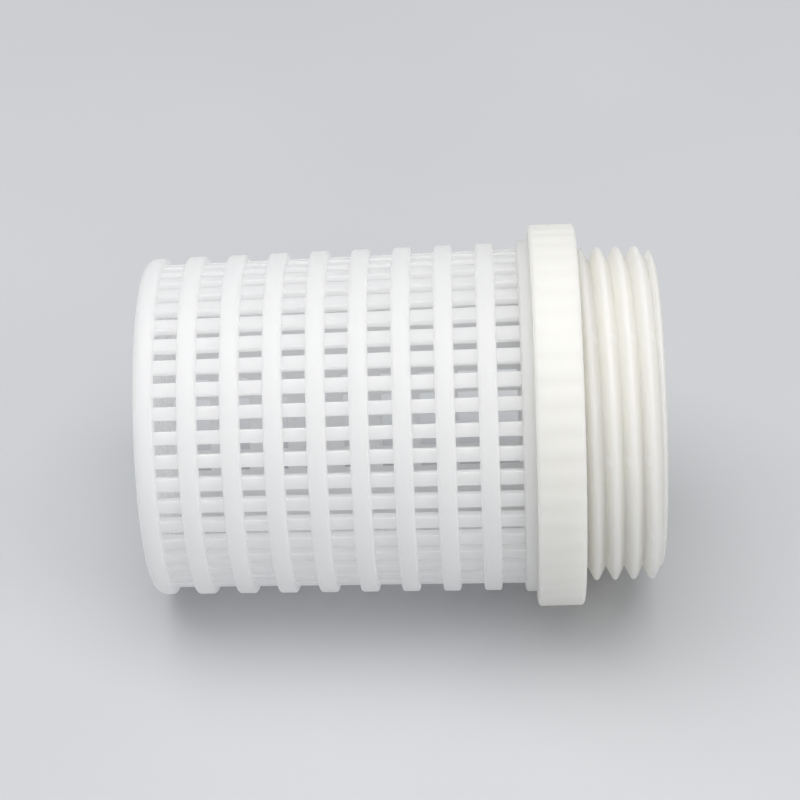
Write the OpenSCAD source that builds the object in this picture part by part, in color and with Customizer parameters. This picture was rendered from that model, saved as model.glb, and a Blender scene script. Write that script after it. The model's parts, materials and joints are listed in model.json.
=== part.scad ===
// Plastic foot valve: a slotted suction strainer below a threaded collar that
// holds a spring-loaded, wing-guided poppet valve.
// Frame: millimetres, +Z up, valve axis along X, thread towards +X.
// The origin is on the axis, in the collar face that the thread stands on.

/* [Outlet thread] */
// Major diameter of the parallel pipe thread
thread_d = 41.91; // [41.7:0.01:42.1]
// Distance between thread turns
thread_pitch = 2.309; // [2:0.001:2.5]
// Length of the threaded spigot
thread_len = 9.9; // [9.6:0.1:12]

/* [Collar] */
// Outside diameter of the gripping collar
collar_d = 48; // [46:0.5:52]
// Width of the collar along the axis
collar_w = 5.8; // [5.6:0.1:6.4]
// Number of shallow grip flutes round the collar
flutes = 48; // [24:1:60]
// Depth of one grip flute
flute_depth = 0.12; // [0.08:0.02:0.2]

/* [Strainer] */
// Crest diameter of the strainer at its collar end
strainer_d = 43.8; // [43.4:0.1:44]
// Loss of crest radius per millimetre towards the closed end
draft = 0.0148; // [0:0.001:0.02]
// Rows of slots along the strainer
slot_rows = 9; // [3:1:12]
// Slots round the strainer in each row
slots_round = 44; // [24:2:48]
// Length of one slot along the axis
slot_len = 2.83; // [2:0.01:3]
// Width of one slot
slot_w = 1.3; // [1:0.05:1.7]
// Width of one hoop between two rows
hoop_w = 2.315; // [2:0.005:3]
// Height of the hoops above the bars
hoop_h = 0.87; // [0.5:0.01:1.2]
// Thickness of the strainer wall at the bars
wall = 1.1; // [0.7:0.05:1.2]
// Thickness of the slotted end wall
end_wall = 1.3; // [1:0.1:2]

/* [Valve] */
// Radius of the water way through the valve seat
seat_r = 10.5; // [9.5:0.1:11]
// Travel of the poppet from shut to fully open
lift = 3.4; // [2:0.1:3.4]
// Diameter of the guide stem
stem_d = 3; // [2.6:0.1:3.2]
// Turns of the closing spring
spring_turns = 4; // [3:0.5:4.5]
// Diameter of the spring wire
wire_d = 0.5; // [0.3:0.05:0.55]

/* [Hidden] */

round_fn = 96;                       // facets of the exact round surfaces in previews
eps = 0.01;                          // overlap that keeps cutters clear of faces
past = 1;                            // how far the cutters run past the faces they cut
fit = 0.05;                          // radial clearance of the sliding and placed fits

// Thread form
thread_r = thread_d / 2;
thread_depth = 0.6403 * thread_pitch;
flank_deg = 27.5;                    // half the 55 degree thread angle
root_w = (thread_pitch - 2 * thread_depth * tan(flank_deg)) / 2;
groove_over = 0.2;                   // how far the groove's cutter stands out of the crests
groove_steps = 30;                   // steps of the helical groove in each turn
thread_phase = 58;                   // turn of the groove about the axis
lead_len = 0.9;                      // lead-in cone at the thread's free end
end_r = 19.6;
core_in = 0.5;                       // how far the thread's core runs into the collar
land_h = 0.25;                       // plain land at the foot of the thread
land_w = 0.1;

// Collar and body bore
collar_r = collar_d / 2;
collar_edge = 0.5;
flute_r = 3;
bore_r = 16.4;                       // water way downstream of the seat
socket_r = 20.6;                     // socket that takes the strainer's spigot
socket_floor = -1.2;
ledge_x = 7.2;                       // shelf that carries the guide spider
ledge_r = 17.2;
clip_x = 8.5;                        // groove of the retaining ring
clip_w = 0.7;
clip_r = 17.9;
clip_in = 16.1;
clip_gap = 10;

// Strainer
hoop_pitch = hoop_w + slot_len;
hoop_edge = 0.3;
hoop_lean = 0.1;                     // draft of a hoop's sides
slot_phase = 0.72;                   // turn of the first slots from straight up
hoop_back = 0.05;                    // the hoops stand this far back from the slots' ends
flange_w = 1.55;
flange_r = 22.1;
flange_edge = 0.15;
end_hoop = 2.44;
end_round = 1.4;
slots_x = -collar_w - flange_w;      // collar end of the first row of slots
flange_x = slots_x + hoop_back;      // strainer face of the flange
closed_x = slots_x - slot_rows * hoop_pitch + hoop_w - end_hoop;
spigot_end = -3.8;
spigot_t = 1.2;
spigot_edge = 0.4;
grille_r = 17.4;
grille_pitch = 3;
grille_span = 12;
grille_rib = 1.6;

// Seat and poppet stack, all at rest with the valve shut
flange_top = -2.2;                   // downstream face of the seat ring
skirt_end = -6.9;
skirt_t = 1.5;
lip_h = 0.5;
lip_w = 0.9;
gasket_gap = 0.3;
seal_x = flange_top + lip_h;         // face of the seat lip
seal_t = 1.2;
seal_r = 12.6;
disc_x = seal_x + seal_t;
disc_t = 1.6;
disc_r = 12.8;
disc_top = disc_x + disc_t;
wing_plate_t = 0.9;
wing_plate_r = 8;
wing_count = 4;
wing_t = 1.2;
wing_in = 3.9;
wing_gap = 0.1;                      // side clearance of the wings in the seat
wing_x = seal_x - wing_plate_t;
wing_end = skirt_end + 0.2;
stem_r = stem_d / 2;
head_r = 2.4;
head_t = 0.6;
washer_t = 0.4;
washer_r = 3.3;
nut_across = 5.5;
nut_t = 1.8;
nut_x = wing_x - washer_t - nut_t;
stem_edge = 0.4;
stem_low = nut_x - 0.6;              // the stem stands a turn out of the nut
stem_top = thread_len - lift - 0.1;  // and stays inside the thread when the valve is open

// Guide and spring
hub_x = disc_top + lift + 0.05;      // the hub's face stops the poppet
hub_top = 8.7;
hub_r = 3;
spring_seat_r = 5;
spider_t = 1.2;
rim_w = 1.85;
arm_count = 4;
arm_w = 1.8;
arm_in = 0.3;                        // how far the arms run into the hub and the rim
spring_r = 4.1;
cup_in = 4.6;
cup_out = 5.4;
cup_h = 0.8;

// Turns a shape drawn along Z so that it lies along the valve axis X
module on_axis(x = 0) translate([x, 0, 0]) rotate([0, 90, 0]) children();

// Plain washer-like ring from x0 to x1
module ring(r_in, r_out, x0, x1)
    on_axis(x0) difference() {
        cylinder(r = r_out, h = x1 - x0, $fn = round_fn);
        translate([0, 0, -past]) cylinder(r = r_in, h = x1 - x0 + 2 * past, $fn = round_fn);
    }

// Plain disc from x0 to x1
module disc(r, x0, x1) on_axis(x0) cylinder(r = r, h = x1 - x0, $fn = round_fn);

// Solid of revolution about the valve axis from [radius, x] points
module turned(points) rotate([0, 90, 0]) rotate_extrude($fn = round_fn) polygon(points);

// ---- Strainer ----
function crest_r(x) = strainer_d / 2 + draft * (x - slots_x);
function bar_r(x) = crest_r(x) - hoop_h;
function inner_r(x) = bar_r(x) - wall;

// Outline of one hoop that stands on the bars from xa to xb
function hoop_outline(xa, xb) = [
    [bar_r(xa), xa], [crest_r(xa) - hoop_edge, xa + hoop_lean], [crest_r(xa), xa + hoop_edge],
    [crest_r(xb), xb - hoop_edge], [crest_r(xb) - hoop_edge, xb - hoop_lean], [bar_r(xb), xb]];

// Outline of the closed end with its rounded corner
function closed_outline(xb) = concat(
    [for (a = [0:15:90]) [crest_r(closed_x) - end_round * (1 - sin(a)),
                          closed_x + end_round * (1 - cos(a))]],
    [[crest_r(xb), xb - hoop_edge], [crest_r(xb) - hoop_edge, xb - hoop_lean], [bar_r(xb), xb]]);

function hoop_start(i) = slots_x - i * hoop_pitch;

module strainer_shell() {
    spigot_r = socket_r - fit;
    hoops = [for (i = [slot_rows - 1:-1:1])
        each hoop_outline(hoop_start(i) + hoop_back, hoop_start(i) + hoop_w - hoop_back)];
    turned(concat(
        [[0, closed_x]],
        closed_outline(closed_x + end_hoop - hoop_back),
        hoops,
        [[bar_r(flange_x), flange_x], [flange_r - flange_edge, flange_x],
         [flange_r, flange_x + flange_edge], [flange_r, -collar_w], [spigot_r, -collar_w],
         [spigot_r, spigot_end - spigot_edge], [spigot_r - spigot_edge, spigot_end],
         [spigot_r - spigot_t, spigot_end], [spigot_r - spigot_t, flange_x + spigot_t],
         [inner_r(flange_x), flange_x], [inner_r(closed_x), closed_x + end_wall],
         [0, closed_x + end_wall]]));
}

module slot_cutters()
    for (row = [1:slot_rows], k = [0:slots_round - 1])
        rotate([slot_phase + k * 360 / slots_round, 0, 0])
            translate([slots_x - (row - 1) * hoop_pitch - slot_len, -slot_w / 2, grille_r])
                cube([slot_len, slot_w, strainer_d / 2 + past - grille_r]);

module grille_cutters()
    intersection() {
        disc(grille_r, closed_x - past, closed_x + end_wall + past);
        for (y = [-5:5], side = [-1, 0, 1])
            translate([closed_x - past, y * grille_pitch - slot_w / 2,
                       side * (grille_span + grille_rib) - grille_span / 2])
                cube([end_wall + 2 * past, slot_w, grille_span]);
    }

module strainer_basket() color("whitesmoke")
    difference() {
        strainer_shell();
        slot_cutters();
        grille_cutters();
    }

// ---- Threaded collar ----
// Cross-section of the helical groove: [radius, axial offset]
function groove_section() =
    let (r_in = thread_r - thread_depth, r_out = thread_r + groove_over,
         w_out = root_w / 2 + (r_out - r_in) * tan(flank_deg))
    [[r_in, -root_w / 2], [r_in, root_w / 2], [r_out, w_out], [r_out, -w_out]];

module thread_groove() {
    turns = ceil(thread_len / thread_pitch) + 1;
    rings = turns * groove_steps;
    points = [for (i = [0:rings], p = groove_section())
        let (a = thread_phase + i * 360 / groove_steps)
        [i * thread_pitch / groove_steps - thread_pitch / 2 + p[1], p[0] * sin(a), -p[0] * cos(a)]];
    sides = [for (i = [0:rings - 1], j = [0:3])
        let (a = 4 * i + j, b = 4 * i + (j + 1) % 4)
        each [[b, a, b + 4], [b + 4, a, a + 4]]];
    last = 4 * rings;
    polyhedron(points, concat([[0, 1, 2, 3]], sides,
        [[last + 3, last + 2, last + 1, last]]), convexity = 10);
}

module thread_body()
    difference() {
        turned([[bore_r, -core_in], [thread_r, -core_in], [thread_r, thread_len - lead_len],
                [end_r, thread_len], [bore_r, thread_len]]);
        thread_groove();
    }

module collar_body()
    difference() {
        turned(concat(
            [[socket_r, -collar_w], [socket_r, socket_floor], [bore_r, socket_floor], [bore_r, 0]],
            [for (a = [0:22.5:90]) [collar_r - collar_edge * (1 - sin(a)),
                                    -collar_edge * (1 - cos(a))]],
            [for (a = [0:22.5:90]) [collar_r - collar_edge * (1 - cos(a)),
                                    -collar_w + collar_edge * (1 - sin(a))]]));
        for (k = [0:flutes - 1])
            rotate([(k + 0.5) * 360 / flutes, 0, 0])
                translate([0, 0, collar_r + flute_r - flute_depth])
                    on_axis(-collar_w - past)
                        cylinder(r = flute_r, h = collar_w + 2 * past, $fn = round_fn);
    }

module threaded_collar() color("ivory")
    difference() {
        union() {
            collar_body();
            thread_body();
            ring(bore_r, thread_r + land_h, -core_in, land_w);
        }
        disc(bore_r, socket_floor - past, thread_len + past);
        disc(ledge_r, ledge_x, thread_len + past);
        disc(clip_r, clip_x, clip_x + clip_w);
    }

// ---- Seat ----
module valve_seat() color("gainsboro")
    turned([[seat_r, skirt_end], [seat_r + skirt_t, skirt_end], [seat_r + skirt_t, spigot_end],
            [socket_r - fit, spigot_end], [socket_r - fit, flange_top],
            [seat_r + 2 * lip_w, flange_top], [seat_r + lip_w, seal_x], [seat_r, seal_x]]);

module seat_gasket() color("dimgray")
    ring(bore_r + gasket_gap, socket_r - gasket_gap, flange_top, socket_floor);

// ---- Guide ----
module guide_spider() color("gainsboro")
    difference() {
        union() {
            ring(ledge_r - fit - rim_w, ledge_r - fit, ledge_x, ledge_x + spider_t);
            disc(hub_r, hub_x, hub_top);
            disc(spring_seat_r, ledge_x, ledge_x + spider_t);
            for (k = [0:arm_count - 1])
                rotate([k * 360 / arm_count, 0, 0])
                    translate([ledge_x, -arm_w / 2, hub_r - arm_in])
                        cube([spider_t, arm_w, ledge_r - fit - rim_w - hub_r + 2 * arm_in]);
        }
        disc(stem_r + fit, hub_x - past, hub_top + past);
    }

module retaining_ring() color("silver")
    difference() {
        ring(clip_in, clip_r - 2 * fit, clip_x, clip_x + clip_w);
        translate([clip_x - past, -clip_gap / 2, -clip_r])
            cube([clip_w + 2 * past, clip_gap, clip_r]);
    }

// Closing spring between the poppet disc and the spider's arms
module return_spring() color("silver") {
    sides = 8;
    steps = 24;
    wire_r = wire_d / 2;
    x0 = disc_top + wire_r;
    x1 = ledge_x - wire_r;
    rings = spring_turns * steps;
    points = [for (i = [0:rings], j = [0:sides - 1])
        let (a = i * 360 / steps, b = j * 360 / sides, r = spring_r + wire_r * cos(b))
        [x0 + (x1 - x0) * i / rings + wire_r * sin(b), r * cos(a), r * sin(a)]];
    skin = [for (i = [0:rings - 1], j = [0:sides - 1])
        let (a = sides * i + j, b = sides * i + (j + 1) % sides)
        each [[a, b, b + sides], [a, b + sides, a + sides]]];
    polyhedron(points, concat([[for (j = [sides - 1:-1:0]) j]], skin,
        [[for (j = [0:sides - 1]) sides * rings + j]]), convexity = 10);
}

// ---- Poppet ----
module poppet_disc() color("gainsboro")
    difference() {
        union() {
            ring(stem_r + fit, disc_r, disc_x, disc_top);
            ring(cup_in, cup_out, disc_top - eps, disc_top + cup_h);
        }
        disc(head_r + fit, disc_top - head_t, disc_top + past);
    }

module poppet_seal() color("dimgray") ring(stem_r + fit, seal_r, seal_x, disc_x);

module wing_guide() color("gainsboro")
    union() {
        ring(stem_r + fit, wing_plate_r, wing_x, seal_x);
        for (k = [0:wing_count - 1])
            rotate([45 + k * 360 / wing_count, 0, 0])
                translate([wing_end, -wing_t / 2, wing_in])
                    cube([seal_x - wing_end, wing_t, seat_r - wing_gap - wing_in]);
    }

module valve_stem() color("silver")
    union() {
        disc(stem_r, stem_low, stem_top - stem_edge);
        on_axis(stem_top - stem_edge)
            cylinder(r1 = stem_r, r2 = stem_r - stem_edge, h = stem_edge, $fn = round_fn);
        disc(head_r, disc_top - head_t, disc_top);
    }

module stem_washer() color("silver") ring(stem_r + fit, washer_r, wing_x - washer_t, wing_x);

module stem_nut() color("silver")
    on_axis(nut_x) difference() {
        cylinder(r = nut_across / sqrt(3), h = nut_t, $fn = 6);
        translate([0, 0, -past]) cylinder(r = stem_r + fit, h = nut_t + 2 * past, $fn = round_fn);
    }

strainer_basket();
threaded_collar();
valve_seat();
seat_gasket();
guide_spider();
retaining_ring();
return_spring();
poppet_disc();
poppet_seal();
wing_guide();
valve_stem();
stem_washer();
stem_nut();
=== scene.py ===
import json
import math

import bmesh
import bpy
from mathutils import Matrix, Vector
from mathutils.geometry import delaunay_2d_cdt


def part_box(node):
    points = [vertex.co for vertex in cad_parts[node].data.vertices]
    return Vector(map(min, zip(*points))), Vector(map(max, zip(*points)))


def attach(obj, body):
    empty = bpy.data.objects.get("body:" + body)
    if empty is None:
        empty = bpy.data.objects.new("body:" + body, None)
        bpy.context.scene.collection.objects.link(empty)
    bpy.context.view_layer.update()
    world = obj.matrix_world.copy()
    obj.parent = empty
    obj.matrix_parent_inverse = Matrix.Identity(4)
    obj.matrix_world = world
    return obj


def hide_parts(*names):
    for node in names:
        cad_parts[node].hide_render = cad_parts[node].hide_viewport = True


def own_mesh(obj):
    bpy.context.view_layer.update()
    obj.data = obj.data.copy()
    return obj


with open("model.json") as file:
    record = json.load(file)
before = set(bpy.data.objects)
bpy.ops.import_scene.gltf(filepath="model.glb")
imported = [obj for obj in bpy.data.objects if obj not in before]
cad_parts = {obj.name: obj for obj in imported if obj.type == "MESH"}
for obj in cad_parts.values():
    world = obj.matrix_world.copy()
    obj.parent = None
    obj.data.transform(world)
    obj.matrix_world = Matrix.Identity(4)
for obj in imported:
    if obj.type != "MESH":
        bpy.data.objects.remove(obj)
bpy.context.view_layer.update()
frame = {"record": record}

# ---------------------------------------------------------------- sizes, in metres
MM = 0.001
TURN = 2 * math.pi
QUARTER_ARC = [math.radians(a) for a in range(0, 91, 15)]

basket_low, basket_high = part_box("strainer_basket")
collar_low, collar_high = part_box("threaded_collar")
seat_low, seat_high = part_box("valve_seat")
gasket_low, gasket_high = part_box("seat_gasket")
spider_low, spider_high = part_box("guide_spider")
clip_low, clip_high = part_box("retaining_ring")
spring_low, spring_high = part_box("return_spring")
disc_low, disc_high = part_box("poppet_disc")
seal_low, seal_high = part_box("poppet_seal")
wing_low, wing_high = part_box("wing_guide")
stem_low, stem_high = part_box("valve_stem")
washer_low, washer_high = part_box("stem_washer")
nut_low, nut_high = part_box("stem_nut")
thread_mount = next(m for m in frame["record"]["mounts"] if m["name"] == "outlet_thread")

# Thread: a G1-1/4 parallel pipe thread
THREAD_R = thread_mount["dims"]["r_mm"] * MM
PITCH = 2.309 * MM
FLANK = math.radians(27.5)       # half of the thread's 55 degree angle
CREST_ROUND = 0.37 * MM
ROOT_ROUND = 0.14 * MM
CREST_AT_TOP = 0.78 * MM         # where the first crest stands, on the +Z side
FOOT_FILLET = 0.25 * MM
FOOT_RING = 0.35 * MM            # flat ring between the crests and the collar's face
THREAD_STEPS = 118
LEAD = 0.8 * MM                  # length of the lead cone
END_R = 19.1 * MM                # the lead cone's radius at the free end
LEAD_BLEND = 0.4 * MM
END_EDGE = 0.12 * MM             # length of the broken edge at the free end
END_DROP = 0.15 * MM

# Collar and bore
COLLAR_X = collar_low.x
END_X = collar_high.x
COLLAR_R = (collar_high.z - collar_low.z) / 2
COLLAR_EDGE = 0.5 * MM
FACE_DROP = 0.4 * MM             # from the rounded rim to the start of the flat face
FLUTES = 48
COLUMNS_PER_FLUTE = 8
FLUTE_DEPTH = 0.12 * MM
FLUTE_SHARPNESS = 1.4
MOUTH_CHAMFER = 0.3 * MM
BORE_R = 16.4 * MM
SOCKET_R = 20.6 * MM
SOCKET_FLOOR = gasket_high.x
LEDGE_X = spring_high.x
LEDGE_R = 17.2 * MM
CLIP_GROOVE_R = 17.9 * MM

# Strainer
SLOT_ROWS = 9
SLOTS_ROUND = 44
SLOT_LEN = 2.83 * MM
SLOT_W = 1.3 * MM
SLOT_PHASE = math.radians(0.72)
SECTOR = TURN / SLOTS_ROUND
SLOT_COLUMNS = 2                 # grid columns across a slot
COLUMNS = 6                      # grid columns across a slot and the bar after it
HOOP_W = 2.315 * MM
HOOP_PITCH = SLOT_LEN + HOOP_W
HOOP_H = 0.87 * MM
HOOP_EDGE = 0.3 * MM
HOOP_LEAN = 0.07 * MM
WALL = 1.1 * MM
CREST_R = 21.9 * MM
DRAFT = 0.0148
FLANGE_W = 1.55 * MM
FLANGE_R = 22.1 * MM
FLANGE_CHAMFER = 0.15 * MM
FLANGE_CHAMFER_W = 0.02 * MM
FLANGE_SLOPE = 0.05 * MM
END_ROUND = 1.4 * MM
END_WALL = 1.3 * MM
FLOOR_ROUND = 0.5 * MM
FLOOR_CORNER = 0.15 * MM
CLOSED_X = basket_low.x
SPIGOT_X = basket_high.x
SLOTS_X = COLLAR_X - FLANGE_W
SPIGOT_R = SOCKET_R - 0.05 * MM
SPIGOT_CHAMFER = 0.4 * MM
SPIGOT_BORE_R = 19.35 * MM
SPIGOT_STEP = 1.2 * MM
GRILLE_EDGE = 18.2 * MM
GRILLE_R = 17.4 * MM
GRILLE_PITCH = 3 * MM
GRILLE_SPAN = 12 * MM
GRILLE_RIB = 1.6 * MM
GRILLE_SIDE_SLOTS = 5            # columns of slots on each side of the middle one

# Valve pieces
EDGE_ROUND = 0.15 * MM
STEM_R = 1.5 * MM
STEM_GAP = 0.05 * MM
STEM_HOLE_R = STEM_R + STEM_GAP
STEM_HEAD_R = 2.4 * MM
STEM_HEAD_X = spring_low.x - 0.6 * MM
STEM_TIP = 0.3 * MM
STEM_END_CHAMFER = 0.4 * MM
SCREW_GROOVES = 7
SCREW_DEPTH = 0.18 * MM
SEAT_BORE_R = 10.5 * MM
SEAT_SKIRT = 1.5 * MM
SEAT_LIP = 0.9 * MM
GASKET_BORE_R = BORE_R + 0.3 * MM
WIRE_R = 0.25 * MM
SPRING_TURNS = 4.0
SPRING_END_TURNS = 0.75          # flat turns at each end
SPRING_END_RISE = 0.475          # how far an end turn climbs, in wire thicknesses
RING_STEPS, RING_SIDES = 40, 12
HUB_R = 3 * MM
HUB_SHOULDER_R = 5 * MM
HUB_RISE = 0.3 * MM
HUB_TAPER = 0.2 * MM
SPIDER_H = 1.2 * MM
SPIDER_RIM = 1.85 * MM
ARM_W = 1.8 * MM
ARM_SUNK = 0.02 * MM            # keeps the arms' faces off the rim's and the hub's
ARM_IN_HUB, ARM_IN_RIM = 0.4 * MM, 1 * MM
ARMS = 4
CLIP_BORE_R = 16.2 * MM
CLIP_SLACK = 0.03 * MM
CLIP_ROUND = 0.06 * MM
CLIP_HALF_GAP = math.radians(16)
EAR_TURN = math.radians(22)
EAR_R = 1.35 * MM
EAR_AXIS_R = CLIP_BORE_R - 0.35 * MM
EAR_HOLE_R = 0.55 * MM
DISC_CHAMFER = 0.5 * MM
CUP_BORE_R = 4.6 * MM
CUP_R = 5.4 * MM
PLATE_R = 8 * MM
WINGS = 4
WING_T = 1.2 * MM
WING_SUNK = 0.05 * MM
WING_FROM, WING_TO = 3.9 * MM, 10.4 * MM
NUT_FLATS = 5.5 * MM
NUT_CHAMFER = 0.3 * MM


# ---------------------------------------------------------------- mesh helpers
def on_axis(x, r, angle):
    """The point at radius r and this angle from +Z, turning by the right hand about +X."""
    return Vector((x, -r * math.sin(angle), r * math.cos(angle)))


def grid_face(i, n, j, k, columns):
    """The face between stations i and n and columns j and k of a grid of vertices."""
    return i * columns + j, i * columns + k, n * columns + k, n * columns + j


def finish_mesh(name, verts, faces, merge=0.0):
    mesh = bpy.data.meshes.new(name)
    mesh.from_pydata(verts, [], faces)
    bm = bmesh.new()
    bm.from_mesh(mesh)
    if merge:
        bmesh.ops.remove_doubles(bm, verts=bm.verts, dist=merge)
    bmesh.ops.recalc_face_normals(bm, faces=bm.faces)
    bm.to_mesh(mesh)
    bm.free()
    mesh.shade_smooth()
    piece = bpy.data.objects.new(name, mesh)
    bpy.context.scene.collection.objects.link(piece)
    return piece


def soften(piece, width, angle=50):
    """Rounds a piece's sharp edges and keeps its flat faces flat."""
    bevel = piece.modifiers.new("edges", "BEVEL")
    bevel.width = width
    bevel.segments = 2
    bevel.limit_method = "ANGLE"
    bevel.angle_limit = math.radians(angle)
    bevel.use_clamp_overlap = True
    bevel.miter_outer = "MITER_ARC"
    bevel.harden_normals = True
    return piece


def rounded(points, radius, steps=3):
    """A closed outline of (x, r) points with every corner off the axis rounded."""
    longest_reach = 0.45         # of the outline's side
    out = []
    count = len(points)
    for i, here in enumerate(points):
        here = Vector(here)
        before = Vector(points[i - 1]) - here
        after = Vector(points[(i + 1) % count]) - here
        if here.y == 0:
            out.append(here)
            continue
        half = before.angle(after) / 2
        reach = min(radius / math.tan(half), longest_reach * before.length,
                    longest_reach * after.length)
        start = here + before.normalized() * reach
        stop = here + after.normalized() * reach
        for step in range(steps + 1):
            t = step / steps
            out.append(start * (1 - t) ** 2 + here * 2 * t * (1 - t) + stop * t ** 2)
    return out


def turned(name, points, radius=EDGE_ROUND, segments=128):
    """A solid of revolution about the valve axis from a closed outline of (x, r) points."""
    outline = rounded(points, radius)
    verts = [on_axis(p.x, p.y, TURN * j / segments) for p in outline for j in range(segments)]
    faces = []
    for i, here in enumerate(outline):
        n = (i + 1) % len(outline)
        if here.y == 0 and outline[n].y == 0:
            continue
        faces += [grid_face(i, n, j, (j + 1) % segments, segments) for j in range(segments)]
    return finish_mesh(name, verts, faces, merge=1e-7)


def ring(name, x0, x1, inner, outer, radius=EDGE_ROUND, segments=128):
    """A flat ring about the valve axis, or a plain disc where inner is 0."""
    return turned(name, [(x0, inner), (x0, outer), (x1, outer), (x1, inner)], radius, segments)


def block(name, low, high, turn=0.0):
    """A box from low to high, turned about the valve axis."""
    verts = [Matrix.Rotation(turn, 3, "X") @ Vector((x, y, z))
             for x in (low[0], high[0]) for y in (low[1], high[1]) for z in (low[2], high[2])]
    faces = [(0, 1, 3, 2), (4, 6, 7, 5), (0, 4, 5, 1), (2, 3, 7, 6), (0, 2, 6, 4), (1, 5, 7, 3)]
    return finish_mesh(name, verts, faces)


def cut_or_join(piece, others, operation):
    """Adds the other solids to the piece, or cuts them from it, for good."""
    for other in others:
        step = piece.modifiers.new("step", "BOOLEAN")
        step.operation = operation
        step.solver = "EXACT"
        step.object = other
    evaluated = piece.evaluated_get(bpy.context.evaluated_depsgraph_get())
    mesh = bpy.data.meshes.new_from_object(evaluated)
    piece.modifiers.clear()
    piece.data = mesh
    for other in others:
        bpy.data.objects.remove(other)
    return piece


# ---------------------------------------------------------------- strainer basket
def crest_r(x):
    return CREST_R + DRAFT * (x - SLOTS_X)


def bar_r(x):
    return crest_r(x) - HOOP_H


def inner_r(x):
    return bar_r(x) - WALL


def column_angle(j, r):
    """Angle of grid column j at radius r. The slots have parallel sides, so it depends on r."""
    k, m = divmod(j, COLUMNS)
    half = math.asin(SLOT_W / 2 / r)
    start = SLOT_PHASE + k * SECTOR
    if m <= SLOT_COLUMNS:
        return start + (m - 1) * half
    return start + half + (SECTOR - 2 * half) * (m - SLOT_COLUMNS) / (COLUMNS - SLOT_COLUMNS)


def hoop_rise(x, step):
    """A hoop's flank and rounded crest edge, from its foot at x up (step 1) or down to x (-1)."""
    points = [(x, bar_r(x))]
    for a in QUARTER_ARC[::2]:
        points.append((x + step * (HOOP_LEAN + HOOP_EDGE * (1 - math.cos(a))),
                       crest_r(x) - HOOP_EDGE * (1 - math.sin(a))))
    return points[::step]


def basket_stations():
    """The wall's outline as (x, r), and the pairs of station numbers that bound each slot row."""
    points, outer_rows, inner_rows = [(CLOSED_X, GRILLE_EDGE)], [], []
    for a in QUARTER_ARC:
        points.append((CLOSED_X + END_ROUND * (1 - math.cos(a)),
                       crest_r(CLOSED_X) - END_ROUND * (1 - math.sin(a))))
    row_starts = [SLOTS_X - i * HOOP_PITCH - SLOT_LEN for i in reversed(range(SLOT_ROWS))]
    for low in row_starts:
        points += hoop_rise(low, -1)
        outer_rows.append((len(points) - 1, len(points)))
        points += hoop_rise(low + SLOT_LEN, 1)
    # The last rise becomes the flange that rests against the collar
    points[-1] = (points[-1][0], FLANGE_R)
    points[-2] = (points[-2][0], FLANGE_R - FLANGE_SLOPE)
    points += [(COLLAR_X - FLANGE_CHAMFER_W, FLANGE_R),
               (COLLAR_X, FLANGE_R - FLANGE_CHAMFER), (COLLAR_X, SPIGOT_R),
               (SPIGOT_X - SPIGOT_CHAMFER, SPIGOT_R), (SPIGOT_X, SPIGOT_R - SPIGOT_CHAMFER),
               (SPIGOT_X, SPIGOT_BORE_R), (SLOTS_X + SPIGOT_STEP, SPIGOT_BORE_R)]
    for low in reversed(row_starts):
        high = low + SLOT_LEN
        points += [(high, inner_r(high)), (low, inner_r(low))]
        inner_rows.append((len(points) - 1, len(points) - 2))
    floor_x = CLOSED_X + END_WALL
    points += [(floor_x + FLOOR_ROUND, inner_r(floor_x)),
               (floor_x + FLOOR_CORNER, inner_r(floor_x) - FLOOR_CORNER),
               (floor_x, inner_r(floor_x) - FLOOR_ROUND), (floor_x, GRILLE_EDGE)]
    return points, list(zip(outer_rows, reversed(inner_rows)))


def grille_slots():
    """The end wall's slots as closed (y, z) outlines: parallel slots in three spans, in a circle."""
    outlines = []
    half = GRILLE_SPAN / 2
    start = half + GRILLE_RIB
    for k in range(-GRILLE_SIDE_SLOTS, GRILLE_SIDE_SLOTS + 1):
        y0, y1 = k * GRILLE_PITCH - SLOT_W / 2, k * GRILLE_PITCH + SLOT_W / 2
        middle = (y0 + y1) / 2
        tops = [math.sqrt(GRILLE_R ** 2 - y ** 2) for y in (y0, middle, y1)]
        outlines.append([(y0, -half), (y1, -half), (y1, half), (y0, half)])
        if min(tops) > start + SLOT_W:
            upper = [(y0, start), (y1, start), (y1, tops[2]), (middle, tops[1]), (y0, tops[0])]
            outlines.append(upper)
            outlines.append([(y, -z) for y, z in reversed(upper)])
    return outlines


def inside(point, outline):
    """Whether a point is inside a convex outline."""
    signs = []
    for i, (y, z) in enumerate(outline):
        ny, nz = outline[(i + 1) % len(outline)]
        signs.append((ny - y) * (point[1] - z) - (nz - z) * (point[0] - y) > 0)
    return all(signs) or not any(signs)


def wall_faces(stations, rows, columns):
    """The basket's outer and inner skins, left open at the slots."""
    open_spans = {min(pair) for both in rows for pair in both}
    return [grid_face(i, i + 1, j, (j + 1) % columns, columns)
            for i in range(stations - 1) for j in range(columns)
            if not (i in open_spans and j % COLUMNS < SLOT_COLUMNS)]


def slot_faces(rows, columns):
    """The four walls of every slot, from the outer skin to the inner one."""
    faces = []
    for (oa, ob), (ia, ib) in rows:
        for s in range(SLOTS_ROUND):
            first = s * COLUMNS
            for j in (first, first + SLOT_COLUMNS):
                faces.append((oa * columns + j, ob * columns + j, ib * columns + j, ia * columns + j))
            for j in range(first, first + SLOT_COLUMNS):
                faces += [grid_face(outer, inner, j, j + 1, columns)
                          for outer, inner in ((oa, ia), (ob, ib))]
    return faces


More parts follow.
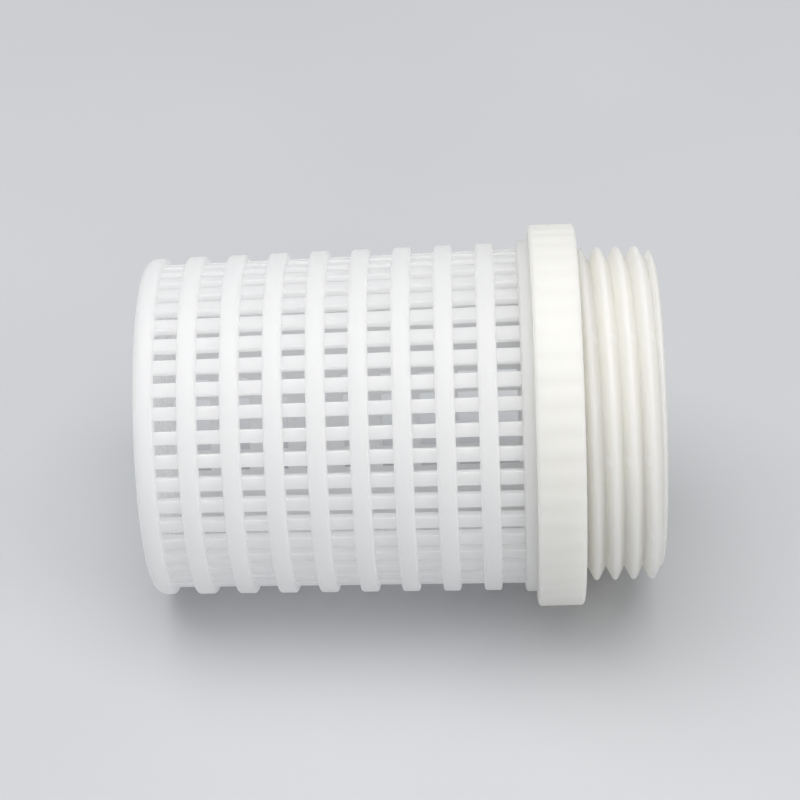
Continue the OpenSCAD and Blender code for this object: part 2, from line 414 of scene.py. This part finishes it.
def end_wall(verts, last, columns):
    """The slotted end wall: one flat triangulation, used for both of its faces. Adds to verts."""
    flat = [Vector(v[1:]) for v in verts[:columns]]
    edges = [(j, (j + 1) % columns) for j in range(columns)]
    outlines = grille_slots()
    for outline in outlines:
        start = len(flat)
        flat += [Vector(p) for p in outline]
        edges += [(start + i, start + (i + 1) % len(outline)) for i in range(len(outline))]
    flat_verts, _, flat_faces, origins, _, _ = delaunay_2d_cdt(flat, edges, [], 0, 1e-9)
    outside, within = {}, {}
    for i, v in enumerate(flat_verts):
        source = origins[i][0]
        if source < columns:
            outside[i], within[i] = source, last + source
        else:
            outside[i], within[i] = len(verts), len(verts) + 1
            verts += [Vector((CLOSED_X, v.x, v.y)), Vector((CLOSED_X + END_WALL, v.x, v.y))]
    faces = []
    for face in flat_faces:
        middle = sum((flat_verts[i] for i in face), Vector((0, 0))) / len(face)
        if not any(inside(middle, outline) for outline in outlines):
            faces += [[outside[i] for i in face], [within[i] for i in face]]
    back = {source: i for i, group in enumerate(origins) for source in group}
    start = columns
    for outline in outlines:
        loop = [back[start + i] for i in range(len(outline))]
        faces += [(outside[a], outside[b], within[b], within[a])
                  for a, b in zip(loop, loop[1:] + loop[:1])]
        start += len(outline)
    return faces


def make_basket():
    """The perforated cup: a grid of stations along the wall by columns round the axis."""
    points, rows = basket_stations()
    columns = COLUMNS * SLOTS_ROUND
    verts = [on_axis(x, r, column_angle(j, r)) for x, r in points for j in range(columns)]
    faces = wall_faces(len(points), rows, columns) + slot_faces(rows, columns)
    faces += end_wall(verts, (len(points) - 1) * columns, columns)
    return finish_mesh("basket_moulding", verts, faces)


# ---------------------------------------------------------------- collar and thread
def thread_r(x, angle):
    """Radius of the rounded 55 degree right-hand thread at one point."""
    turn = (x - CREST_AT_TOP - PITCH * angle / TURN) / PITCH
    offset = abs(turn - round(turn)) * PITCH
    from_root = PITCH / 2 - offset
    past_round = 1 / math.sin(FLANK) - 1
    apex = THREAD_R + CREST_ROUND * past_round
    if offset < CREST_ROUND * math.cos(FLANK):
        return THREAD_R - CREST_ROUND + math.sqrt(CREST_ROUND ** 2 - offset ** 2)
    if from_root < ROOT_ROUND * math.cos(FLANK):
        root = apex - PITCH / 2 / math.tan(FLANK) + ROOT_ROUND * past_round
        return root + ROOT_ROUND - math.sqrt(ROOT_ROUND ** 2 - from_root ** 2)
    return apex - offset / math.tan(FLANK)


def smooth_min(a, b, blend):
    """The smaller of two values, rounded over where they are within blend of each other."""
    gap = max(blend - abs(a - b), 0) / blend
    return min(a, b) - gap * gap * blend / 4


def threaded_r(x, angle):
    """The thread, taken in by a lead cone at its free end and filleted at its foot."""
    lead = END_R + (THREAD_R - END_R) * (END_X - x) / LEAD
    fillet = FOOT_FILLET * max(0, 1 - x / FOOT_FILLET) ** 2
    return smooth_min(thread_r(x, angle), lead, LEAD_BLEND) + fillet


def fluted_r(r, angle):
    """The collar's surface at radius r, taken in by its grip flutes."""
    wave = 0.5 + 0.5 * math.cos(FLUTES * angle - math.pi)
    return r - FLUTE_DEPTH * wave ** FLUTE_SHARPNESS


def make_collar():
    """The collar, thread and bore, from stations of (x, radius as a function of angle)."""
    columns = FLUTES * COLUMNS_PER_FLUTE
    outline = []

    def plain(x, r):
        outline.append((x, lambda angle: r))

    def fluted(x, a):
        r = COLLAR_R - COLLAR_EDGE * (1 - math.sin(a))
        outline.append((x, lambda angle: fluted_r(r, angle)))

    def threaded(x, drop=0.0):
        outline.append((x, lambda angle: threaded_r(x, angle) - drop))

    face_r = COLLAR_R - COLLAR_EDGE - FACE_DROP
    plain(COLLAR_X, SOCKET_R + MOUTH_CHAMFER)
    plain(COLLAR_X, face_r)
    for a in QUARTER_ARC:
        fluted(COLLAR_X + COLLAR_EDGE * (1 - math.cos(a)), a)
    for a in reversed(QUARTER_ARC):
        fluted(-COLLAR_EDGE * (1 - math.cos(a)), a)
    plain(0, face_r)
    plain(0, THREAD_R + FOOT_RING)
    for i in range(THREAD_STEPS + 1):
        threaded((END_X - END_EDGE) * i / THREAD_STEPS)
    threaded(END_X - END_EDGE / 4, END_DROP / 3)
    threaded(END_X, END_DROP)
    plain(END_X, LEDGE_R + MOUTH_CHAMFER)
    plain(END_X - MOUTH_CHAMFER, LEDGE_R)
    for x, r in ((clip_high.x, LEDGE_R), (clip_high.x, CLIP_GROOVE_R),
                 (clip_low.x, CLIP_GROOVE_R), (clip_low.x, LEDGE_R),
                 (LEDGE_X, LEDGE_R), (LEDGE_X, BORE_R), (SOCKET_FLOOR, BORE_R),
                 (SOCKET_FLOOR, SOCKET_R), (COLLAR_X + MOUTH_CHAMFER, SOCKET_R)):
        plain(x, r)
    verts = [on_axis(x, radius(TURN * j / columns), TURN * j / columns)
             for x, radius in outline for j in range(columns)]
    faces = [grid_face(i, (i + 1) % len(outline), j, (j + 1) % columns, columns)
             for i in range(len(outline)) for j in range(columns)]
    return finish_mesh("collar_moulding", verts, faces)


# ---------------------------------------------------------------- valve pieces
def make_seat():
    """The seat ring: a guide skirt, a clamped flange and a raised lip."""
    skirt_r, lip_r = SEAT_BORE_R + SEAT_SKIRT, SEAT_BORE_R + SEAT_LIP
    return turned("seat_ring", [
        (seat_low.x, SEAT_BORE_R), (seat_low.x, skirt_r), (SPIGOT_X, skirt_r),
        (SPIGOT_X, seat_high.y), (gasket_low.x, seat_high.y), (gasket_low.x, lip_r + SEAT_LIP),
        (seal_low.x, lip_r), (seal_low.x, SEAT_BORE_R)])


def make_gasket():
    return ring("flat_gasket", gasket_low.x, gasket_high.x, GASKET_BORE_R, gasket_high.y)


def spring_height(t):
    """Height of the wire's centre after t turns: nearly flat end turns, an even pitch between."""
    total = SPRING_TURNS + 2 * SPRING_END_TURNS
    low, high = spring_low.x + WIRE_R, spring_high.x - WIRE_R
    rise = 2 * WIRE_R * SPRING_END_RISE
    if t < SPRING_END_TURNS:
        return low + rise * t / SPRING_END_TURNS
    if t > total - SPRING_END_TURNS:
        return high - rise * (total - t) / SPRING_END_TURNS
    return low + rise + (high - low - 2 * rise) * (t - SPRING_END_TURNS) / SPRING_TURNS


def make_spring():
    """A closing spring of round wire."""
    mean_r = spring_high.y - WIRE_R
    rings = int((SPRING_TURNS + 2 * SPRING_END_TURNS) * RING_STEPS)
    verts = []
    for i in range(rings + 1):
        t = i / RING_STEPS
        for j in range(RING_SIDES):
            b = TURN * j / RING_SIDES
            verts.append(on_axis(spring_height(t) + WIRE_R * math.sin(b),
                                 mean_r + WIRE_R * math.cos(b), TURN * t))
    faces = [grid_face(i, i + 1, j, (j + 1) % RING_SIDES, RING_SIDES)
             for i in range(rings) for j in range(RING_SIDES)]
    faces.append(list(range(RING_SIDES)))
    faces.append([rings * RING_SIDES + j for j in range(RING_SIDES)])
    return finish_mesh("closing_spring", verts, faces)


def make_spider():
    """The upper guide: a hub with a shoulder, a rim and the arms between them."""
    rim_r = LEDGE_R - STEM_GAP
    x0, x1 = LEDGE_X, LEDGE_X + SPIDER_H
    hub = turned("guide_hub", [
        (spider_low.x, STEM_HOLE_R), (spider_low.x, HUB_R), (x0, HUB_R), (x0, HUB_SHOULDER_R),
        (x1, HUB_SHOULDER_R), (x1 + HUB_RISE, HUB_R), (spider_high.x, HUB_R - HUB_TAPER),
        (spider_high.x, STEM_HOLE_R)], segments=96)
    rim = ring("rim", x0, x1, rim_r - SPIDER_RIM, rim_r, segments=192)
    low = (x0 + ARM_SUNK, -ARM_W / 2, HUB_SHOULDER_R - ARM_IN_HUB)
    high = (x1 - ARM_SUNK, ARM_W / 2, rim_r - ARM_IN_RIM)
    arms = [block("arm", low, high, k * TURN / ARMS) for k in range(ARMS)]
    return soften(cut_or_join(hub, [rim] + arms, "UNION"), EDGE_ROUND)


def make_retaining_ring():
    """An internal snap ring with a gap and two drilled ears."""
    x0, x1 = clip_low.x + CLIP_SLACK, clip_high.x - CLIP_SLACK
    outer = clip_high.y
    clip = ring("snap_ring", x0, x1, CLIP_BORE_R, outer, radius=CLIP_ROUND, segments=192)
    ears = [ring("ear", x0, x1, 0, EAR_R, radius=CLIP_ROUND, segments=48) for _ in range(2)]
    holes = [ring("hole", x0 - MM, x1 + MM, 0, EAR_HOLE_R, radius=0.01 * MM, segments=32)
             for _ in range(2)]
    for side, ear, hole in zip((-1, 1), ears, holes):
        ear.location = on_axis(0, EAR_AXIS_R, math.pi + side * EAR_TURN)
        hole.location = ear.location
    half_gap = math.sin(CLIP_HALF_GAP) * outer
    wedge = block("gap", (x0 - MM, -half_gap, -outer - MM), (x1 + MM, half_gap, 0))
    return cut_or_join(cut_or_join(clip, ears, "UNION"), [wedge] + holes, "DIFFERENCE")


def make_poppet_disc():
    """The closing disc, with a cup for the spring and a pocket for the stem's head."""
    top, head = spring_low.x, STEM_HEAD_R + STEM_GAP
    return turned("closing_disc", [
        (disc_low.x, STEM_HOLE_R), (disc_low.x, disc_high.y), (top - DISC_CHAMFER, disc_high.y),
        (top, disc_high.y - DISC_CHAMFER), (top, CUP_R), (disc_high.x, CUP_R),
        (disc_high.x, CUP_BORE_R), (top, CUP_BORE_R), (top, head), (STEM_HEAD_X, head),
        (STEM_HEAD_X, STEM_HOLE_R)], radius=0.12 * MM, segments=160)


def make_seal():
    return ring("rubber_seal", seal_low.x, seal_high.x, STEM_HOLE_R, seal_high.y,
                radius=0.2 * MM, segments=160)


def make_wings():
    """The plate that clamps the seal, with its wings at 45 degrees to the spider's arms."""
    plate = ring("wing_plate", washer_high.x, wing_high.x, STEM_HOLE_R, PLATE_R)
    low = (wing_low.x, -WING_T / 2, WING_FROM)
    high = (wing_high.x - WING_SUNK, WING_T / 2, WING_TO)
    wings = [block("wing", low, high, TURN / 8 + k * TURN / WINGS) for k in range(WINGS)]
    return soften(cut_or_join(plate, wings, "UNION"), 0.2 * MM)


def make_stem():
    """The headed pin, with a screwed end for the nut below the washer."""
    top, screw_top = spring_low.x, washer_low.x
    points = [(stem_low.x, 0), (stem_low.x, STEM_R - STEM_TIP)]
    step = (screw_top - stem_low.x - STEM_TIP) / SCREW_GROOVES
    for i in range(SCREW_GROOVES):
        x = stem_low.x + STEM_TIP + i * step
        points += [(x, STEM_R - SCREW_DEPTH), (x + step / 2, STEM_R)]
    points += [(screw_top, STEM_R), (STEM_HEAD_X, STEM_R), (STEM_HEAD_X, STEM_HEAD_R),
               (top, STEM_HEAD_R), (top, STEM_R), (stem_high.x - STEM_END_CHAMFER, STEM_R),
               (stem_high.x, STEM_R - STEM_END_CHAMFER), (stem_high.x, 0)]
    return turned("guide_stem", points, radius=0.1 * MM, segments=64)


def make_washer():
    return ring("flat_washer", washer_low.x, washer_high.x, STEM_HOLE_R, washer_high.y,
                radius=0.08 * MM, segments=96)


def make_nut():
    """A hexagon nut with chamfered corners: a turned blank cut down to six flats."""
    corner = nut_high.z
    nut = turned("hexagon_nut", [
        (nut_low.x, STEM_HOLE_R), (nut_low.x, corner - NUT_CHAMFER),
        (nut_low.x + NUT_CHAMFER / 2, corner), (nut_high.x - NUT_CHAMFER / 2, corner),
        (nut_high.x, corner - NUT_CHAMFER), (nut_high.x, STEM_HOLE_R)],
        radius=0.05 * MM, segments=96)
    cutters = [block("flat", (nut_low.x - MM, NUT_FLATS / 2, -NUT_FLATS),
                     (nut_high.x + MM, NUT_FLATS, NUT_FLATS), k * TURN / 6) for k in range(6)]
    return cut_or_join(nut, cutters, "DIFFERENCE")


# ---------------------------------------------------------------- materials
def new_material(name):
    material = bpy.data.materials.new(name)
    material.use_nodes = True
    tree = material.node_tree
    shader = tree.nodes["Principled BSDF"]
    return material, tree, shader


def noise(tree, scale, detail=3.0, roughness=0.5, stretch=(1, 1, 1)):
    """A noise texture in the object's own metres, stretched along its axes."""
    coordinates = tree.nodes.new("ShaderNodeTexCoord")
    spread = tree.nodes.new("ShaderNodeMapping")
    spread.inputs["Scale"].default_value = stretch
    texture = tree.nodes.new("ShaderNodeTexNoise")
    texture.inputs["Scale"].default_value = scale
    texture.inputs["Detail"].default_value = detail
    texture.inputs["Roughness"].default_value = roughness
    tree.links.new(coordinates.outputs["Object"], spread.inputs["Vector"])
    tree.links.new(spread.outputs["Vector"], texture.inputs["Vector"])
    return texture.outputs["Fac"]


def ramp(tree, source, stops):
    """A colour ramp over source. stops are (position, colour or grey level)."""
    node = tree.nodes.new("ShaderNodeValToRGB")
    while len(node.color_ramp.elements) < len(stops):
        node.color_ramp.elements.new(0.5)
    for element, (position, value) in zip(node.color_ramp.elements, stops):
        element.position = position
        element.color = (*value, 1) if isinstance(value, tuple) else (value, value, value, 1)
    tree.links.new(source, node.inputs["Fac"])
    return node.outputs["Color"]


def mix(tree, factor, a, b):
    """Mixes colour b into colour a. Each of the three may be a value or a socket."""
    node = tree.nodes.new("ShaderNodeMix")
    node.data_type = "RGBA"
    for socket, value in ((node.inputs[0], factor), (node.inputs[6], a), (node.inputs[7], b)):
        if isinstance(value, bpy.types.NodeSocket):
            tree.links.new(value, socket)
        else:
            socket.default_value = value
    return node.outputs[2]


def bump(tree, shader, layers):
    """Chains bump layers of (height socket, strength, depth in metres) into the normal."""
    normal = None
    for height, strength, depth in layers:
        node = tree.nodes.new("ShaderNodeBump")
        node.inputs["Strength"].default_value = strength
        node.inputs["Distance"].default_value = depth
        tree.links.new(height, node.inputs["Height"])
        if normal:
            tree.links.new(normal, node.inputs["Normal"])
        normal = node.outputs["Normal"]
    tree.links.new(normal, shader.inputs["Normal"])


def edge_wear(tree, spread=0.03):
    """1 on worn outer edges and 0 elsewhere, from the surface's own curvature."""
    geometry = tree.nodes.new("ShaderNodeNewGeometry")
    flat = 0.5                   # the pointiness of a flat surface
    return ramp(tree, geometry.outputs["Pointiness"],
                [(flat + spread * 0.4, 0.0), (flat + spread * 2, 1.0)])


def moulded_plastic(name, light, dark, edge, see_through, roughness=0.42, through=0.56,
                    depth=2.2 * MM):
    """Milky moulded plastic: cloudy colour, faint orange peel and rubbed bright edges.

    see_through is the share of light that scatters inside, to this depth, and through is the
    share that shines out of the other side of the wall.
    """
    material, tree, shader = new_material(name)
    cloudy = ramp(tree, noise(tree, 90, 4), [(0.35, dark), (0.65, light)])
    coloured = mix(tree, edge_wear(tree), cloudy, (*edge, 1))
    tree.links.new(coloured, shader.inputs["Base Color"])
    smudges = ramp(tree, noise(tree, 260, 5, 0.6),
                   [(0.3, roughness - 0.06), (0.7, roughness + 0.08)])
    tree.links.new(smudges, shader.inputs["Roughness"])
    bump(tree, shader, [(noise(tree, 1500, 3), 0.12, 0.03 * MM),
                        (noise(tree, 420, 2, 0.4, (0.35, 1, 1)), 0.10, 0.03 * MM)])
    shader.inputs["Subsurface Weight"].default_value = see_through
    shader.inputs["Subsurface Radius"].default_value = (1.0, 0.97, 0.92)
    shader.inputs["Subsurface Scale"].default_value = depth
    shader.inputs["IOR"].default_value = 1.49
    glow = tree.nodes.new("ShaderNodeBsdfTranslucent")
    tree.links.new(coloured, glow.inputs["Color"])
    blend = tree.nodes.new("ShaderNodeMixShader")
    blend.inputs[0].default_value = through
    tree.links.new(shader.outputs[0], blend.inputs[1])
    tree.links.new(glow.outputs[0], blend.inputs[2])
    tree.links.new(blend.outputs[0], tree.nodes["Material Output"].inputs["Surface"])
    return material


def rubber(name):
    """Black nitrile rubber with a fine matt grain and a pale bloom."""
    material, tree, shader = new_material(name)
    bloom = ramp(tree, noise(tree, 320, 5, 0.65),
                 [(0.4, (0.012, 0.012, 0.013)), (0.75, (0.035, 0.034, 0.033))])
    tree.links.new(bloom, shader.inputs["Base Color"])
    matt = ramp(tree, noise(tree, 700, 4), [(0.3, 0.55), (0.7, 0.78)])
    tree.links.new(matt, shader.inputs["Roughness"])
    bump(tree, shader, [(noise(tree, 2600, 3), 0.35, 0.03 * MM)])
    return material


def stainless(name, stretch=(1, 1, 1)):
    """Bright drawn stainless steel with fine draw lines and a few dull smears."""
    material, tree, shader = new_material(name)
    tone = ramp(tree, noise(tree, 500, 4), [(0.3, (0.50, 0.50, 0.51)), (0.7, (0.66, 0.66, 0.67))])
    tree.links.new(tone, shader.inputs["Base Color"])
    lines = noise(tree, 1800, 4, 0.6, stretch)
    tree.links.new(ramp(tree, lines, [(0.3, 0.20), (0.7, 0.38)]), shader.inputs["Roughness"])
    bump(tree, shader, [(lines, 0.15, 0.02 * MM)])
    shader.inputs["Metallic"].default_value = 1.0
    return material


def pale_floor(name):
    """A matt pale grey floor with a barely visible cloudiness."""
    material, tree, shader = new_material(name)
    tone = ramp(tree, noise(tree, 6, 3), [(0.35, (0.52, 0.53, 0.55)), (0.65, (0.56, 0.57, 0.59))])
    tree.links.new(tone, shader.inputs["Base Color"])
    matt = ramp(tree, noise(tree, 40, 2), [(0.3, 0.75), (0.7, 0.85)])
    tree.links.new(matt, shader.inputs["Roughness"])
    bump(tree, shader, [(noise(tree, 900, 2), 0.1, 0.05 * MM)])
    return material


basket_plastic = moulded_plastic(
    "basket_plastic", light=(0.985, 0.985, 0.985), dark=(0.975, 0.975, 0.977),
    edge=(0.99, 0.99, 0.99), see_through=1.0)
collar_plastic = moulded_plastic(
    "collar_plastic", light=(0.925, 0.913, 0.866), dark=(0.912, 0.898, 0.848),
    edge=(0.955, 0.945, 0.91), see_through=1.0, roughness=0.5, through=0.22, depth=5 * MM)
valve_plastic = moulded_plastic(
    "valve_plastic", light=(0.72, 0.72, 0.69), dark=(0.68, 0.68, 0.65),
    edge=(0.74, 0.74, 0.71), see_through=0.3, roughness=0.36, through=0.1)
black_rubber = rubber("black_rubber")
turned_steel = stainless("turned_steel", stretch=(1, 0.08, 0.08))
spring_steel = stainless("spring_steel")


# ---------------------------------------------------------------- the pieces on their bodies
def place(piece, node, body, material, sharp_from=None):
    """Puts a finished piece in place of its CAD node, with corners over sharp_from kept sharp."""
    piece.data.materials.clear()
    piece.data.materials.append(material)
    piece.data.shade_smooth()
    if sharp_from is not None:
        piece.data.set_sharp_from_angle(angle=math.radians(sharp_from))
    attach(piece, body)
    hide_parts(node)
    return piece


place(make_basket(), "strainer_basket", "valve_body", basket_plastic, 40)
place(make_collar(), "threaded_collar", "valve_body", collar_plastic, 50)
place(make_seat(), "valve_seat", "valve_body", valve_plastic, 40)
place(make_gasket(), "seat_gasket", "valve_body", black_rubber, 40)
place(make_spider(), "guide_spider", "valve_body", valve_plastic)
place(make_retaining_ring(), "retaining_ring", "valve_body", turned_steel, 40)
spring = place(make_spring(), "return_spring", "valve_body", spring_steel)
place(make_poppet_disc(), "poppet_disc", "poppet", valve_plastic, 40)
place(make_seal(), "poppet_seal", "poppet", black_rubber, 40)
place(make_wings(), "wing_guide", "poppet", valve_plastic)
place(make_stem(), "valve_stem", "poppet", turned_steel, 40)
place(make_washer(), "stem_washer", "poppet", turned_steel, 40)
place(make_nut(), "stem_nut", "poppet", turned_steel, 40)

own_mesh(spring)

# ---------------------------------------------------------------- floor, light and camera
# The valve lies on its side on the floor: the collar's rim and the closed end's rim touch it.
FLOOR_SIZE = 6.0
FLOOR_GAP = 0.02 * MM
foot_x = CLOSED_X + END_ROUND
lean = math.atan2(COLLAR_R - crest_r(foot_x), COLLAR_X - foot_x)
bpy.ops.mesh.primitive_plane_add(size=FLOOR_SIZE, location=(COLLAR_X, 0, -COLLAR_R - FLOOR_GAP))
floor = bpy.context.object
floor.name = "floor"
floor.rotation_euler = (0, lean, 0)
floor.data.materials.append(pale_floor("pale_floor"))


def area_light(name, location, target, size, power, colour):
    data = bpy.data.lights.new(name, "AREA")
    data.shape = "RECTANGLE"
    data.size, data.size_y = size
    data.energy = power
    data.color = colour
    lamp = bpy.data.objects.new(name, data)
    lamp.location = location
    lamp.rotation_euler = (Vector(target) - Vector(location)).to_track_quat("-Z", "Y").to_euler()
    bpy.context.scene.collection.objects.link(lamp)


area_light("overhead", location=(-0.05, -0.05, 0.55), target=(-0.02, 0, 0), size=(0.7, 0.5),
           power=2.95, colour=(1.0, 0.99, 0.97))
area_light("front_fill", location=(-0.35, -0.50, 0.25), target=(-0.02, 0, 0), size=(0.5, 0.4),
           power=0.2, colour=(0.97, 0.98, 1.0))
area_light("right_fill", location=(0.45, -0.30, 0.25), target=(0, 0, 0), size=(0.4, 0.4),
           power=0.95, colour=(1.0, 0.98, 0.95))

SKY_COLOUR = (0.95, 0.97, 1.0, 1)
SKY_STRENGTH = 0.46
LIGHT_BOUNCES = 24               # enough for light to fill the basket through its walls
scene = bpy.context.scene
world = bpy.data.worlds.new("studio")
world.use_nodes = True
background = world.node_tree.nodes["Background"]
background.inputs["Color"].default_value = SKY_COLOUR
background.inputs["Strength"].default_value = SKY_STRENGTH
scene.world = world
scene.view_settings.view_transform = "Standard"
scene.cycles.max_bounces = LIGHT_BOUNCES
scene.cycles.diffuse_bounces = LIGHT_BOUNCES
scene.cycles.transmission_bounces = LIGHT_BOUNCES

# The camera looks down at the valve's side from a third of a metre, with a slight yaw and roll.
ELEVATION = math.radians(40.2)
DISTANCE = 334.1 * MM
ALONG = -11.73 * MM
YAW, PITCH_UP, ROLL = math.radians(1.838), math.radians(0.419), math.radians(-1.701)
LENS = 118.98
SENSOR = 36
camera_data = bpy.data.cameras.new("camera")
camera_data.lens = LENS
camera_data.sensor_width = SENSOR
camera_data.clip_start = 0.01
camera = bpy.data.objects.new("camera", camera_data)
scene.collection.objects.link(camera)
aim = (Matrix.Rotation(math.pi / 2 - ELEVATION, 3, "X") @ Matrix.Rotation(YAW, 3, "Y")
       @ Matrix.Rotation(PITCH_UP, 3, "X") @ Matrix.Rotation(ROLL, 3, "Z"))
camera.rotation_euler = aim.to_euler()
camera.location = (ALONG, -DISTANCE * math.cos(ELEVATION), DISTANCE * math.sin(ELEVATION))
scene.camera = camera
